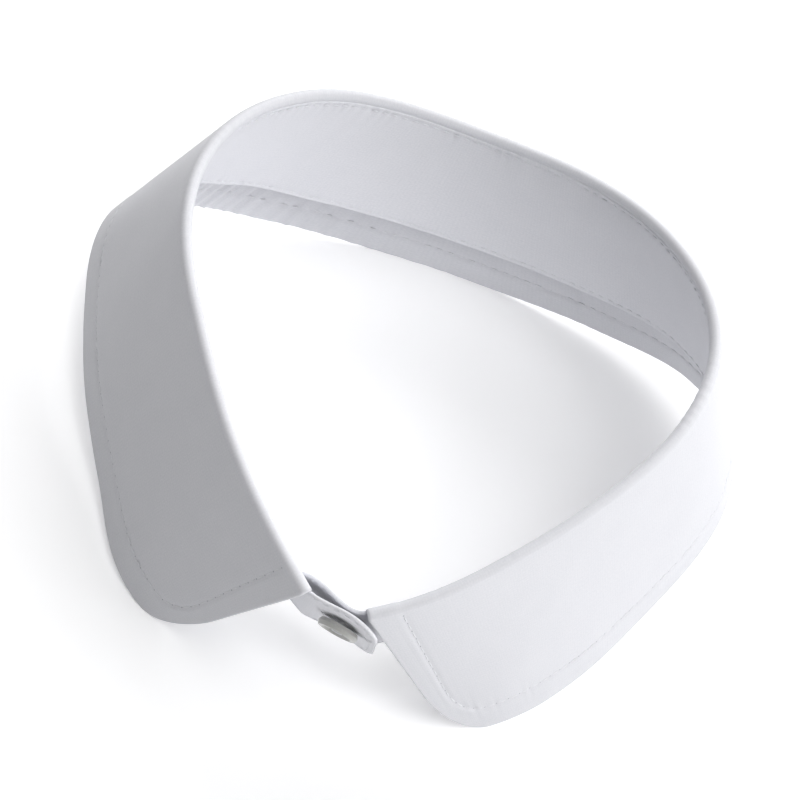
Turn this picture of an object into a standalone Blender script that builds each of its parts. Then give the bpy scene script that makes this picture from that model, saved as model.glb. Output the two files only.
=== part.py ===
"""A detachable shirt collar: a band round the neck and a leaf that rolls over it, buttoned at the front.

It stands by itself on the leaf's two points and the back of its hem. Metres, +Z up, the front towards -Y.
The origin is on the surface that the collar stands on, under the middle of its outline.
"""

import math

import bmesh
import bpy
import numpy as np
from mathutils import Matrix, Vector

MM = 0.001

# Cloth: each piece is two plies and interlining, sewn and pressed to one wall.
WALL = 1.2 * MM
SEAM_GAP = 0.3 * MM

# The fold line is the top of the collar, where the leaf turns over, measured from the back centre.
FOLD_HALF_LENGTH = 186 * MM
ROLL_RADIUS = 1.0 * MM
SEAM_DEPTH = 1.2 * MM
WALK_STEP = 0.5 * MM

# Where the back centre of the fold stands from the origin. It is low enough for the collar's weight to press
# its lowest edges flat by about 0.3 mm, at the back and at both points.
FOLD_BACK = Vector((-1.1 * MM, 64.7 * MM, 44.7 * MM))

# Leaf: its width below the fold, and its rounded points, whose front edges slant back.
LEAF_WIDTH_BACK = 45 * MM
LEAF_WIDTH_SIDE = 47 * MM
LEAF_WIDTH_FRONT = 42.5 * MM
POINT_RADIUS = 15 * MM
FRONT_SLANT = 6 * MM
FRONT_SLANT_REACH = 30 * MM

# Band: its width below the fold, and its two ends, which reach past the leaf and overlap.
BAND_WIDTH_BACK = 31.5 * MM
BAND_WIDTH_FRONT = 27 * MM
BAND_END = 17 * MM
BAND_END_DROP = 1.8 * MM
BAND_END_DROP_REACH = 8 * MM
BAND_END_TOP_RADIUS = 8 * MM
BAND_END_LOW_RADIUS = 5 * MM

# Button: sewn to the inner end of the band and passed through the outer one.
BUTTON_RADIUS = 4.5 * MM
BUTTON_THICKNESS = 1.6 * MM
BUTTON_RIM = 1.2 * MM
BUTTON_DISH = 0.4 * MM
BUTTON_HOLE_RADIUS = 0.65 * MM
BUTTON_HOLE_PITCH = 2.3 * MM
BUTTON_PAST_LEAF = 9.4 * MM
BUTTON_DEPTH = 13.0 * MM
BUTTON_STAND_OFF = 0.7 * MM

# How the mesh is divided.
SECTION_SPACING = 6.0 * MM
BAND_END_SECTION_SPACING = 1.5 * MM
CORNER_SECTIONS = 6
SEAM_ROWS = 1
ROLL_ROWS = 6
LEAF_ROWS = 8
BAND_ROWS = 5

# The fold and the lean of the cloth below it: a row for each eighth of a half, from the front end on the
# wearer's right, round the back, to the other one. Heading is the fold's direction in plan, 0 across the
# back. Rise is its height over the back centre. Lean is how far the cloth's lower edge swings outwards, and
# skew how far along the fold the cloth runs for each unit down.
SECTION_COLUMNS = ("heading_deg", "rise_mm", "band_lean_deg", "leaf_lean_deg", "band_skew", "leaf_skew")
SECTIONS = (
    (-140.5, -8.0, -21, 16, 0.15, 0.20),
    (-135.0, -4.5, -11, 23, 0.30, 0.10),
    (-127.0, 0.0, -4, 20, 0.40, 0.00),
    (-121.0, 5.0, 2, 18, 0.40, 0.05),
    (-100.0, 7.5, 12, 20, 0.30, -0.05),
    (-72.0, 7.5, 18, 26, 0.10, -0.05),
    (-45.0, 5.0, 5, 14, -0.25, -0.35),
    (-15.5, 1.5, -12, -2, -0.35, -0.40),
    (0.0, 0.0, -9, -3, 0.00, 0.00),
    (15.5, 2.0, -4, 4, 0.20, 0.25),
    (40.5, 5.0, 12, 18, 0.30, 0.20),
    (66.5, 7.5, 19, 25, -0.05, 0.05),
    (96.0, 7.0, 12, 22, -0.30, -0.15),
    (116.5, 3.5, 2, 18, -0.40, -0.05),
    (125.5, -0.5, -4, 21, -0.40, 0.05),
    (132.0, -4.5, -9, 21, -0.30, -0.15),
    (148.5, -8.5, -16, 13, -0.15, -0.30),
)

# The two ends of the band past the leaf: a row every 4 mm. The outer end is on the wearer's right and laps
# over the inner one. Heading and rise are the fold's, as above. Aside is how far to the wearer's left, and
# back how far backwards, the cloth runs for each unit down it.
BAND_END_SPACING = 4 * MM
BAND_END_COLUMNS = ("heading_deg", "rise_mm", "aside", "back")
OUTER_END = (
    (-166, -6.8, -0.03, 0.46),
    (-171, -6.1, 0.00, 0.455),
    (-166, -6.0, 0.03, 0.44),
    (-161, -6.1, 0.05, 0.425),
    (-158, -6.5, 0.06, 0.42),
)
INNER_END = (
    (192, -8.6, 0.10, 0.46),
    (206, -8.4, 0.08, 0.475),
    (202, -8.2, 0.04, 0.485),
    (189, -8.1, 0.01, 0.485),
    (176, -8.1, -0.01, 0.485),
)


def smooth(values, row):
    """Read a column of evenly spaced values at a row between them, along a smooth curve through them all."""
    first = 2 * values[0] - values[1]
    last = 2 * values[-1] - values[-2]
    padded = [first, *values, last]
    start = min(int(row), len(values) - 2)
    u = row - start
    a, b, c, d = padded[start:start + 4]
    return b + 0.5 * u * (c - a + u * (2 * a - 5 * b + 4 * c - d + u * (3 * (b - c) + d - a)))


def section_value(column, along):
    """A column of SECTIONS at a place along the fold."""
    index = SECTION_COLUMNS.index(column)
    reach = min(max(along / FOLD_HALF_LENGTH, -1), 1)
    row = (reach + 1) / 2 * (len(SECTIONS) - 1)
    return smooth([values[index] for values in SECTIONS], row)


def end_value(column, along, at_leaf):
    """A column of OUTER_END or INNER_END at a place past the leaf, starting from its value at the leaf."""
    rows = OUTER_END if along < 0 else INNER_END
    index = BAND_END_COLUMNS.index(column)
    row = (abs(along) - FOLD_HALF_LENGTH) / BAND_END_SPACING
    return smooth([at_leaf] + [values[index] for values in rows], row)


def fold_value(column, along):
    """The fold's heading or rise, past the leaf too."""
    value = section_value(column, along)
    if abs(along) > FOLD_HALF_LENGTH:
        value = end_value(column, along, value)
    return value


def walk_fold():
    """Follow the fold in small steps both ways from the back, as its heading and rise say.

    At the leaf's two ends the climb is the one on the leaf's side.
    """
    steps = int((FOLD_HALF_LENGTH + BAND_END) / WALK_STEP) + 1
    along = np.arange(-steps, steps + 1) * WALK_STEP
    heading = np.radians([fold_value("heading_deg", place) for place in along])
    rise = np.array([fold_value("rise_mm", place) for place in along]) * MM
    climb = np.gradient(rise, WALK_STEP)
    right = steps - round(FOLD_HALF_LENGTH / WALK_STEP)
    left = steps + round(FOLD_HALF_LENGTH / WALK_STEP)
    climb[right] = (rise[right + 1] - rise[right]) / WALK_STEP
    climb[left] = (rise[left] - rise[left - 1]) / WALK_STEP
    level = np.sqrt(1 - climb ** 2)
    across = np.stack([np.cos(heading) * level, -np.sin(heading) * level])
    middle = (across[:, 1:] + across[:, :-1]) / 2 * WALK_STEP
    walked = np.concatenate([np.zeros((2, 1)), np.cumsum(middle, axis=1)], axis=1)
    walked = walked - walked[:, steps:steps + 1]
    return {"along": along, "x": walked[0], "y": walked[1], "z": rise, "heading": heading, "climb": climb}


FOLD = walk_fold()


class Section:
    """The collar cut across at one place along its fold."""

    def __init__(self, along):
        at = {name: float(np.interp(along, FOLD["along"], FOLD[name])) for name in FOLD}
        level = math.sqrt(1 - at["climb"] ** 2)
        heading = at["heading"]
        self.centre = FOLD_BACK + Vector((at["x"], at["y"], at["z"]))
        self.forward = Vector((math.cos(heading) * level, -math.sin(heading) * level, at["climb"]))
        self.outward = Vector((math.sin(heading), math.cos(heading), 0))
        self.upward = self.forward.cross(self.outward)
        reach = min(abs(along) / FOLD_HALF_LENGTH, 1)
        self.band_lean = math.radians(section_value("band_lean_deg", along))
        self.band_width = BAND_WIDTH_BACK + (BAND_WIDTH_FRONT - BAND_WIDTH_BACK) * reach
        if abs(along) <= FOLD_HALF_LENGTH:
            self.band_fall = self.falling(self.band_lean) + section_value("band_skew", along) * self.forward
        else:
            self.band_fall = end_fall(along)
        self.band_facing = self.forward.cross(self.band_fall).normalized()
        self.leaf_lean = math.radians(section_value("leaf_lean_deg", along))
        self.leaf_fall = self.falling(self.leaf_lean) + section_value("leaf_skew", along) * self.forward
        self.leaf_width = (
            LEAF_WIDTH_BACK * (1 - reach) * (1 - 2 * reach)
            + LEAF_WIDTH_SIDE * 4 * reach * (1 - reach)
            + LEAF_WIDTH_FRONT * reach * (2 * reach - 1)
        )
        fade = max(1 - (FOLD_HALF_LENGTH - abs(along)) / FRONT_SLANT_REACH, 0) ** 2
        self.slant = math.copysign(FRONT_SLANT * min(fade, 1), -along)

    def facing(self, lean):
        """The way that cloth of this lean faces."""
        return math.cos(lean) * self.outward + math.sin(lean) * self.upward

    def falling(self, lean):
        """The way that cloth of this lean falls."""
        return math.sin(lean) * self.outward - math.cos(lean) * self.upward

    def band_point(self, depth, out=0.0):
        """A point in the middle of the band's wall, or out from it, at a depth below the fold."""
        inset = ROLL_RADIUS * (1 - depth / self.band_width)
        return self.centre + self.band_fall * depth + self.band_facing * (out - inset)

    def roll_point(self, turn):
        """A point on the leaf's roll over the top, from the outside at 0 to the inside at 1."""
        lean = self.leaf_lean + turn * (math.pi + self.band_lean - self.leaf_lean)
        return self.centre + self.facing(lean) * ROLL_RADIUS

    def leaf_point(self, depth):
        """A point in the middle of the leaf's wall at a depth below the fold."""
        share = depth / self.leaf_width
        outset = self.facing(self.leaf_lean) * ROLL_RADIUS * (1 - share)
        return self.centre + self.leaf_fall * depth + outset + self.forward * self.slant * share


def end_fall(along):
    """The way that the cloth of one of the band's ends falls, starting from its way at the leaf."""
    at_leaf = Section(math.copysign(FOLD_HALF_LENGTH, along)).band_fall
    start = at_leaf.normalized()
    aside = end_value("aside", along, start.x)
    back = end_value("back", along, start.y)
    return at_leaf.length * Vector((aside, back, -math.sqrt(1 - aside ** 2 - back ** 2)))


def corner_cut(from_end, radius):
    """How much a round corner takes off a piece's width at a distance from its end."""
    inside = max(radius - from_end, 0)
    return radius - math.sqrt(radius ** 2 - inside ** 2)


def end_drop(along):
    """How far the band's top edge drops past the leaf."""
    past = min(max((abs(along) - FOLD_HALF_LENGTH) / BAND_END_DROP_REACH, 0), 1)
    return BAND_END_DROP * past * past * (3 - 2 * past)


def leaf_places():
    """Places for the leaf's sections: evenly spaced, and closer together round its points."""
    straight = FOLD_HALF_LENGTH - POINT_RADIUS
    count = round(2 * straight / SECTION_SPACING)
    middle = [straight * (2 * step / count - 1) for step in range(count + 1)]
    angles = [math.pi / 2 * step / CORNER_SECTIONS for step in range(CORNER_SECTIONS)]
    ends = [FOLD_HALF_LENGTH - POINT_RADIUS * (1 - math.cos(angle)) for angle in angles]
    return [-place for place in ends] + middle + ends[::-1]


def band_places():
    """Places for the band's sections: the leaf's, and those of the two ends past it."""
    count = round(BAND_END / BAND_END_SECTION_SPACING)
    shares = [math.sin(math.pi / 2 * step / count) for step in range(1, count + 1)]
    ends = [FOLD_HALF_LENGTH + BAND_END * share for share in shares]
    return [-place for place in ends[::-1]] + leaf_places() + ends


def leaf_profile(along):
    """Points from the leaf's seam inside the neck up, over the roll, and down to its hem."""
    section = Section(along)
    hem = section.leaf_width - corner_cut(FOLD_HALF_LENGTH - abs(along), POINT_RADIUS)
    points = [section.band_point(SEAM_DEPTH * (1 - row / SEAM_ROWS)) for row in range(SEAM_ROWS)]
    points += [section.roll_point(1 - row / ROLL_ROWS) for row in range(ROLL_ROWS)]
    points += [section.leaf_point(hem * row / LEAF_ROWS) for row in range(LEAF_ROWS + 1)]
    return points


def band_profile(along):
    """Points from the band's bottom edge up to its top edge, just under the leaf's seam."""
    section = Section(along)
    from_end = FOLD_HALF_LENGTH + BAND_END - abs(along)
    top = SEAM_DEPTH + SEAM_GAP + end_drop(along) + corner_cut(from_end, BAND_END_TOP_RADIUS)
    bottom = section.band_width - corner_cut(from_end, BAND_END_LOW_RADIUS)
    return [section.band_point(top + (bottom - top) * row / BAND_ROWS) for row in range(BAND_ROWS + 1)]


def cloth_sheet(name, profiles, collection, material):
    """A wall of cloth through a row of profiles: a grid laid on them and given its thickness."""
    columns = len(profiles) - 1
    rows = len(profiles[0]) - 1
    sheet = bmesh.new()
    bmesh.ops.create_grid(sheet, x_segments=columns, y_segments=rows, size=1)
    for vertex in sheet.verts:
        column = round((vertex.co.x + 1) / 2 * columns)
        row = round((vertex.co.y + 1) / 2 * rows)
        vertex.co = profiles[column][row]
    mesh = bpy.data.meshes.new(name)
    sheet.to_mesh(mesh)
    sheet.free()
    mesh.shade_smooth()
    piece = bpy.data.objects.new(name, mesh)
    collection.objects.link(piece)
    mesh.materials.append(material)
    wall = piece.modifiers.new("wall", "SOLIDIFY")
    wall.thickness = WALL
    wall.offset = 0
    wall.use_even_offset = True
    return piece


def new_material(name, colour, roughness):
    """A plain material with the piece's own colour and finish."""
    material = bpy.data.materials.new(name)
    material.use_nodes = True
    shader = material.node_tree.nodes["Principled BSDF"]
    shader.inputs["Base Color"].default_value = (*colour, 1)
    shader.inputs["Roughness"].default_value = roughness
    return material


def new_collection(name):
    """A collection in the scene."""
    collection = bpy.data.collections.new(name)
    bpy.context.scene.collection.children.link(collection)
    return collection


def make_cutter(name, mesh_maker, collection):
    """A hidden shape that another piece is cut with."""
    shape = bmesh.new()
    mesh_maker(shape)
    mesh = bpy.data.meshes.new(name)
    shape.to_mesh(mesh)
    shape.free()
    cutter = bpy.data.objects.new(name, mesh)
    cutter.hide_render = True
    cutter.display_type = "WIRE"
    collection.objects.link(cutter)
    return cutter


def cut_with(piece, cutter):
    """Cut a piece with a cutter."""
    cut = piece.modifiers.new(cutter.name, "BOOLEAN")
    cut.operation = "DIFFERENCE"
    cut.object = cutter


def make_leaf(collection, cutters):
    """The leaf, with its lowest edges pressed flat on the surface that it stands on."""
    cloth = new_material("leaf_cloth", (0.86, 0.86, 0.9), 0.85)
    leaf = cloth_sheet("leaf", [leaf_profile(along) for along in leaf_places()], collection, cloth)
    depth = 20 * MM
    width = 400 * MM

    def surface_block(shape):
        bmesh.ops.create_cube(shape, size=1, matrix=Matrix.Diagonal((width, width, depth, 1)))
        bmesh.ops.translate(shape, verts=shape.verts, vec=(0, 0, -depth / 2))

    cut_with(leaf, make_cutter("surface_cutter", surface_block, cutters))
    return leaf


def make_band(collection):
    """The band round the neck, with both its ends."""
    cloth = new_material("band_cloth", (0.84, 0.84, 0.88), 0.85)
    return cloth_sheet("band", [band_profile(along) for along in band_places()], collection, cloth)


def make_button(collection, cutters):
    """A four-hole button turned with a raised rim, lying on the outer end of the band."""
    half = BUTTON_THICKNESS / 2
    profile = (
        (0, half - BUTTON_DISH),
        (BUTTON_RADIUS - BUTTON_RIM - BUTTON_DISH, half - BUTTON_DISH),
        (BUTTON_RADIUS - BUTTON_RIM, half),
        (BUTTON_RADIUS - BUTTON_DISH, half),
        (BUTTON_RADIUS, 0),
        (BUTTON_RADIUS - BUTTON_DISH, -half),
        (0, -half),
    )
    section = Section(-FOLD_HALF_LENGTH - BUTTON_PAST_LEAF)
    facing = section.band_facing
    out = WALL / 2 + BUTTON_STAND_OFF + half
    turned = facing.to_track_quat("Z", "Y").to_matrix().to_4x4()
    place = Matrix.Translation(section.band_point(BUTTON_DEPTH, out)) @ turned
    outline = bmesh.new()
    corners = [outline.verts.new((radius, 0, height)) for radius, height in profile]
    for start, end in zip(corners, corners[1:]):
        outline.edges.new((start, end))
    mesh = bpy.data.meshes.new("button")
    outline.to_mesh(mesh)
    outline.free()
    mesh.materials.append(new_material("button_shell", (0.62, 0.62, 0.56), 0.25))
    button = bpy.data.objects.new("button", mesh)
    button.matrix_world = place
    collection.objects.link(button)
    turn = button.modifiers.new("turned", "SCREW")
    turn.axis = "Z"
    turn.steps = turn.render_steps = 32
    turn.use_merge_vertices = True
    turn.merge_threshold = 0.01 * MM

    def four_holes(shape):
        for x in (-1, 1):
            for y in (-1, 1):
                at = Matrix.Translation((x * BUTTON_HOLE_PITCH / 2, y * BUTTON_HOLE_PITCH / 2, 0))
                bmesh.ops.create_cone(
                    shape, cap_ends=True, segments=10, radius1=BUTTON_HOLE_RADIUS,
                    radius2=BUTTON_HOLE_RADIUS, depth=2 * BUTTON_THICKNESS, matrix=place @ at)

    cut_with(button, make_cutter("button_hole_cutter", four_holes, cutters))
    return button


def build_collar():
    """Clear the scene and make the whole collar."""
    for item in list(bpy.data.objects):
        bpy.data.objects.remove(item)
    collection = new_collection("detachable_shirt_collar")
    cutters = new_collection("cutters")
    make_leaf(collection, cutters)
    make_band(collection)
    make_button(collection, cutters)


build_collar()
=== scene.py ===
import math

import bmesh
import bpy
import numpy as np
from mathutils import Matrix, Vector


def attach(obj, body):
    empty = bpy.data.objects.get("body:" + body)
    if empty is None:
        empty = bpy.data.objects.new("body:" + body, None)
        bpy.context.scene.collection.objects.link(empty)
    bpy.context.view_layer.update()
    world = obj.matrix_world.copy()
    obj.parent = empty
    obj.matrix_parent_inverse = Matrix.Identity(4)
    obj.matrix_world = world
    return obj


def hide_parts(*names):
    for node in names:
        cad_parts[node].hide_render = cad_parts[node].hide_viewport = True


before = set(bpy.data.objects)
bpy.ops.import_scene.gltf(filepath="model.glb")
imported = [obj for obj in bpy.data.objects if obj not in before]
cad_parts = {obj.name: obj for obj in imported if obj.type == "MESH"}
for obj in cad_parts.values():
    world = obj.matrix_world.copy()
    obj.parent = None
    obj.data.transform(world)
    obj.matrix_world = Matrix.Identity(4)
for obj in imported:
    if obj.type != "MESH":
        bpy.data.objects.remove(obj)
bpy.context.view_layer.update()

# Neck band
# Two plies of white poplin with fusible interlining between them, sewn round, turned and pressed, with two
# round ends that lap at the front. The leaf is sewn in along its top edge, where it is edge stitched.
MM = 0.001
CLOTH_HALF = 0.42 * MM
FOLD_HALF_LENGTH = 186 * MM
FOLD_BACK = Vector((-1.1 * MM, 64.7 * MM, 44.7 * MM))
ROLL_RADIUS = 1.0 * MM
SEAM_DEPTH = 0.6 * MM
WALK_STEP = 0.5 * MM
BAND_WIDTH_BACK = 31.5 * MM
BAND_WIDTH_FRONT = 27 * MM
BAND_END = 17 * MM
BAND_END_DROP = 1.8 * MM
BAND_END_DROP_REACH = 8 * MM
BAND_END_TOP_RADIUS = 8 * MM
BAND_END_LOW_RADIUS = 5 * MM

# The fold, an eighth of a half at a time from the wearer's right front end: its heading in plan, its rise
# over the back, how far the cloth below swings outwards, and how far along it runs for each unit down.
SECTION_COLUMNS = ("heading_deg", "rise_mm", "band_lean_deg", "leaf_lean_deg", "band_skew", "leaf_skew")
SECTIONS = (
    (-140.5, -8.0, -21, 16, 0.15, 0.20),
    (-135.0, -4.5, -11, 23, 0.30, 0.10),
    (-127.0, 0.0, -4, 20, 0.40, 0.00),
    (-121.0, 5.0, 2, 18, 0.40, 0.05),
    (-100.0, 7.5, 12, 20, 0.30, -0.05),
    (-72.0, 7.5, 18, 26, 0.10, -0.05),
    (-45.0, 5.0, 5, 14, -0.25, -0.35),
    (-15.5, 1.5, -12, -2, -0.35, -0.40),
    (0.0, 0.0, -9, -3, 0.00, 0.00),
    (15.5, 2.0, -4, 4, 0.20, 0.25),
    (40.5, 5.0, 12, 18, 0.30, 0.20),
    (66.5, 7.5, 19, 25, -0.05, 0.05),
    (96.0, 7.0, 12, 22, -0.30, -0.15),
    (116.5, 3.5, 2, 18, -0.40, -0.05),
    (125.5, -0.5, -4, 21, -0.40, 0.05),
    (132.0, -4.5, -9, 21, -0.30, -0.15),
    (148.5, -8.5, -16, 13, -0.15, -0.30),
)

# The band's two ends past the leaf, every 4 mm: the fold's heading and rise, and how far to the wearer's left
# and backwards the cloth runs for each unit down it.
BAND_END_SPACING = 4 * MM
BAND_END_COLUMNS = ("heading_deg", "rise_mm", "aside", "back")
OUTER_END = (
    (-166, -6.8, -0.03, 0.46),
    (-171, -6.1, 0.00, 0.455),
    (-166, -6.0, 0.03, 0.44),
    (-161, -6.1, 0.05, 0.425),
    (-158, -6.5, 0.06, 0.42),
)
INNER_END = (
    (192, -8.6, 0.10, 0.46),
    (206, -8.4, 0.08, 0.475),
    (202, -8.2, 0.04, 0.485),
    (189, -8.1, 0.01, 0.485),
    (176, -8.1, -0.01, 0.485),
)


def smooth(values, row):
    """Read a column of evenly spaced values at a row between them, along a smooth curve through them all."""
    padded = [2 * values[0] - values[1], *values, 2 * values[-1] - values[-2]]
    start = min(int(row), len(values) - 2)
    u = row - start
    a, b, c, d = padded[start:start + 4]
    return b + 0.5 * u * (c - a + u * (2 * a - 5 * b + 4 * c - d + u * (3 * (b - c) + d - a)))


def section_value(column, along):
    """A column of SECTIONS at a place along the fold."""
    index = SECTION_COLUMNS.index(column)
    reach = min(max(along / FOLD_HALF_LENGTH, -1), 1)
    return smooth([values[index] for values in SECTIONS], (reach + 1) / 2 * (len(SECTIONS) - 1))


def end_value(column, along, at_leaf):
    """A column of OUTER_END or INNER_END at a place past the leaf, starting from its value at the leaf."""
    rows = OUTER_END if along < 0 else INNER_END
    index = BAND_END_COLUMNS.index(column)
    row = (abs(along) - FOLD_HALF_LENGTH) / BAND_END_SPACING
    return smooth([at_leaf] + [values[index] for values in rows], row)


def fold_value(column, along):
    """The fold's heading or rise, past the leaf too."""
    value = section_value(column, along)
    if abs(along) > FOLD_HALF_LENGTH:
        value = end_value(column, along, value)
    return value


def walk_fold():
    """Follow the fold in small steps both ways from the back, as its heading and rise say."""
    steps = int((FOLD_HALF_LENGTH + BAND_END) / WALK_STEP) + 1
    along = np.arange(-steps, steps + 1) * WALK_STEP
    heading = np.radians([fold_value("heading_deg", place) for place in along])
    rise = np.array([fold_value("rise_mm", place) for place in along]) * MM
    climb = np.gradient(rise, WALK_STEP)
    right = steps - round(FOLD_HALF_LENGTH / WALK_STEP)
    left = steps + round(FOLD_HALF_LENGTH / WALK_STEP)
    climb[right] = (rise[right + 1] - rise[right]) / WALK_STEP
    climb[left] = (rise[left] - rise[left - 1]) / WALK_STEP
    level = np.sqrt(1 - climb ** 2)
    across = np.stack([np.cos(heading) * level, -np.sin(heading) * level])
    middle = (across[:, 1:] + across[:, :-1]) / 2 * WALK_STEP
    walked = np.concatenate([np.zeros((2, 1)), np.cumsum(middle, axis=1)], axis=1)
    walked = walked - walked[:, steps:steps + 1]
    return {"along": along, "x": walked[0], "y": walked[1], "z": rise, "heading": heading, "climb": climb}


FOLD = walk_fold()


class Section:
    """The collar cut across at one place along its fold."""

    def __init__(self, along):
        along = float(along)
        at = {name: float(np.interp(along, FOLD["along"], FOLD[name])) for name in FOLD}
        level = math.sqrt(1 - at["climb"] ** 2)
        heading = at["heading"]
        self.along = along
        self.centre = FOLD_BACK + Vector((at["x"], at["y"], at["z"]))
        self.forward = Vector((math.cos(heading) * level, -math.sin(heading) * level, at["climb"]))
        self.outward = Vector((math.sin(heading), math.cos(heading), 0))
        self.upward = self.forward.cross(self.outward)
        self.reach = min(abs(along) / FOLD_HALF_LENGTH, 1)
        self.band_lean = math.radians(section_value("band_lean_deg", along))
        self.band_width = BAND_WIDTH_BACK + (BAND_WIDTH_FRONT - BAND_WIDTH_BACK) * self.reach
        if abs(along) <= FOLD_HALF_LENGTH:
            self.band_fall = self.falling(self.band_lean) + section_value("band_skew", along) * self.forward
        else:
            self.band_fall = end_fall(along)
        self.band_facing = self.forward.cross(self.band_fall).normalized()

    def facing(self, lean):
        """The way that cloth of this lean faces."""
        return math.cos(lean) * self.outward + math.sin(lean) * self.upward

    def falling(self, lean):
        """The way that cloth of this lean falls."""
        return math.sin(lean) * self.outward - math.cos(lean) * self.upward

    def band_point(self, depth):
        """A point in the middle of the band's wall at a depth below the fold."""
        inset = ROLL_RADIUS * (1 - depth / self.band_width)
        return self.centre + self.band_fall * depth - self.band_facing * inset


def end_fall(along):
    """The way that the cloth of one of the band's ends falls, starting from its way at the leaf."""
    at_leaf = Section(math.copysign(FOLD_HALF_LENGTH, along)).band_fall
    start = at_leaf.normalized()
    aside = end_value("aside", along, start.x)
    back = end_value("back", along, start.y)
    return at_leaf.length * Vector((aside, back, -math.sqrt(1 - aside ** 2 - back ** 2)))


def band_top(along):
    """The depth of the band's top edge, which drops past the leaf, before its corner is rounded."""
    past = np.clip((np.abs(along) - FOLD_HALF_LENGTH) / BAND_END_DROP_REACH, 0, 1)
    return SEAM_DEPTH + BAND_END_DROP * past * past * (3 - 2 * past)


def corner_cut(from_end, radius):
    """How much a round corner takes off a piece's width at a distance from its end."""
    inside = np.maximum(radius - from_end, 0)
    return radius - np.sqrt(radius ** 2 - inside ** 2)


def corner_distance(from_end, from_side, radius):
    """How far a point is from the nearer of two edges that meet in a round corner."""
    in_corner = (from_end < radius) & (from_side < radius)
    to_round = radius - np.hypot(radius - from_end, radius - from_side)
    return np.where(in_corner, to_round, np.minimum(from_end, from_side))


# The wall is closed along its edges, so its columns and rows lie closer together there.
EDGE_STEPS = np.array([0, 0.06, 0.15, 0.3, 0.5, 0.75, 1.05, 1.4, 1.8, 2.3, 2.9, 3.5, 4.1]) * MM
COLUMN_SPACING = 0.65 * MM
CREASE_COLUMNS = ("along_mm", "depth_mm", "turn_deg", "half_length_mm", "half_width_mm", "height_mm")


def spaced(first, last, spacing, start_steps, end_steps):
    """Places from first to last, evenly spaced between the closer steps at both ends."""
    low = first + start_steps
    high = last - end_steps[::-1]
    count = round((high[0] - low[-1]) / spacing)
    return np.concatenate([low, np.linspace(low[-1], high[0], count + 1)[1:-1], high])


def hand_creases(creases, along, depth):
    """The height of the listed soft creases and swellings, at points on the flat cloth."""
    height = np.zeros(np.broadcast(along, depth).shape)
    for crease in creases:
        at = dict(zip(CREASE_COLUMNS, crease))
        turn = math.radians(at["turn_deg"])
        x = along - at["along_mm"] * MM
        y = depth - at["depth_mm"] * MM
        lengthwise = (x * math.cos(turn) + y * math.sin(turn)) / (at["half_length_mm"] * MM)
        crosswise = (y * math.cos(turn) - x * math.sin(turn)) / (at["half_width_mm"] * MM)
        height = height + at["height_mm"] * MM * np.exp(-lengthwise ** 2 - crosswise ** 2)
    return height


def cloth_wall(from_edge):
    """Half the wall's thickness at a distance from the closed edge, which is rounded."""
    inside = 1 - np.clip(from_edge / CLOTH_HALF, 0, 1)
    return CLOTH_HALF * np.sqrt(1 - inside ** 2)


def faced(middle):
    """The way that a grid of points faces: outwards from the neck where its rows run down."""
    facing = np.cross(np.gradient(middle, axis=0), np.gradient(middle, axis=1))
    return facing / np.linalg.norm(facing, axis=2, keepdims=True)


def sewn_cloth(name, plies, pattern):
    """Two grids of points, the outer and the inner ply's, joined round their edges as one closed cloth."""
    columns = len(pattern) - 1
    rows = len(pattern[0]) - 1
    cloth = bmesh.new()
    flat = cloth.loops.layers.uv.new("pattern")
    for ply, points in enumerate(plies):
        grid = bmesh.ops.create_grid(cloth, x_segments=columns, y_segments=rows, size=1)["verts"]
        cell = {}
        for vertex in grid:
            column = round((vertex.co.x + 1) / 2 * columns)
            row = round((vertex.co.y + 1) / 2 * rows)
            cell[vertex] = (column, row)
            vertex.co = points[column, row]
        faces = list({face for vertex in grid for face in vertex.link_faces})
        for face in faces:
            for corner in face.loops:
                corner[flat].uv = pattern[cell[corner.vert]]
        if ply:
            bmesh.ops.reverse_faces(cloth, faces=faces)
    bmesh.ops.remove_doubles(cloth, verts=cloth.verts, dist=0.002 * MM)
    return finished(name, cloth)


def finished(name, shape, smooth_faces=True):
    """Turn a bmesh into an object of the scene that rides with the part."""
    mesh = bpy.data.meshes.new(name)
    shape.to_mesh(mesh)
    shape.free()
    if smooth_faces:
        mesh.shade_smooth()
    piece = bpy.data.objects.new(name, mesh)
    bpy.context.scene.collection.objects.link(piece)
    return piece


def colour(text):
    """An sRGB hex colour as linear values."""
    values = [int(text[place:place + 2], 16) / 255 for place in (1, 3, 5)]
    return (*(v / 12.92 if v <= 0.04045 else ((v + 0.055) / 1.055) ** 2.4 for v in values), 1)


def add_node(tree, kind, inputs=(), **settings):
    """Add a node with its settings, and its inputs as values or as links from other nodes."""
    node = tree.nodes.new(kind)
    for name, value in settings.items():
        setattr(node, name, value)
    for socket, value in dict(inputs).items():
        if isinstance(value, bpy.types.NodeSocket):
            tree.links.new(value, node.inputs[socket])
        else:
            node.inputs[socket].default_value = value
    return node


def new_material(name, shader_values):
    """A material with a Principled shader, and its node tree and shader."""
    material = bpy.data.materials.new(name)
    material.use_nodes = True
    shader = material.node_tree.nodes["Principled BSDF"]
    for socket, value in shader_values.items():
        shader.inputs[socket].default_value = value
    return material, material.node_tree, shader


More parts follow.
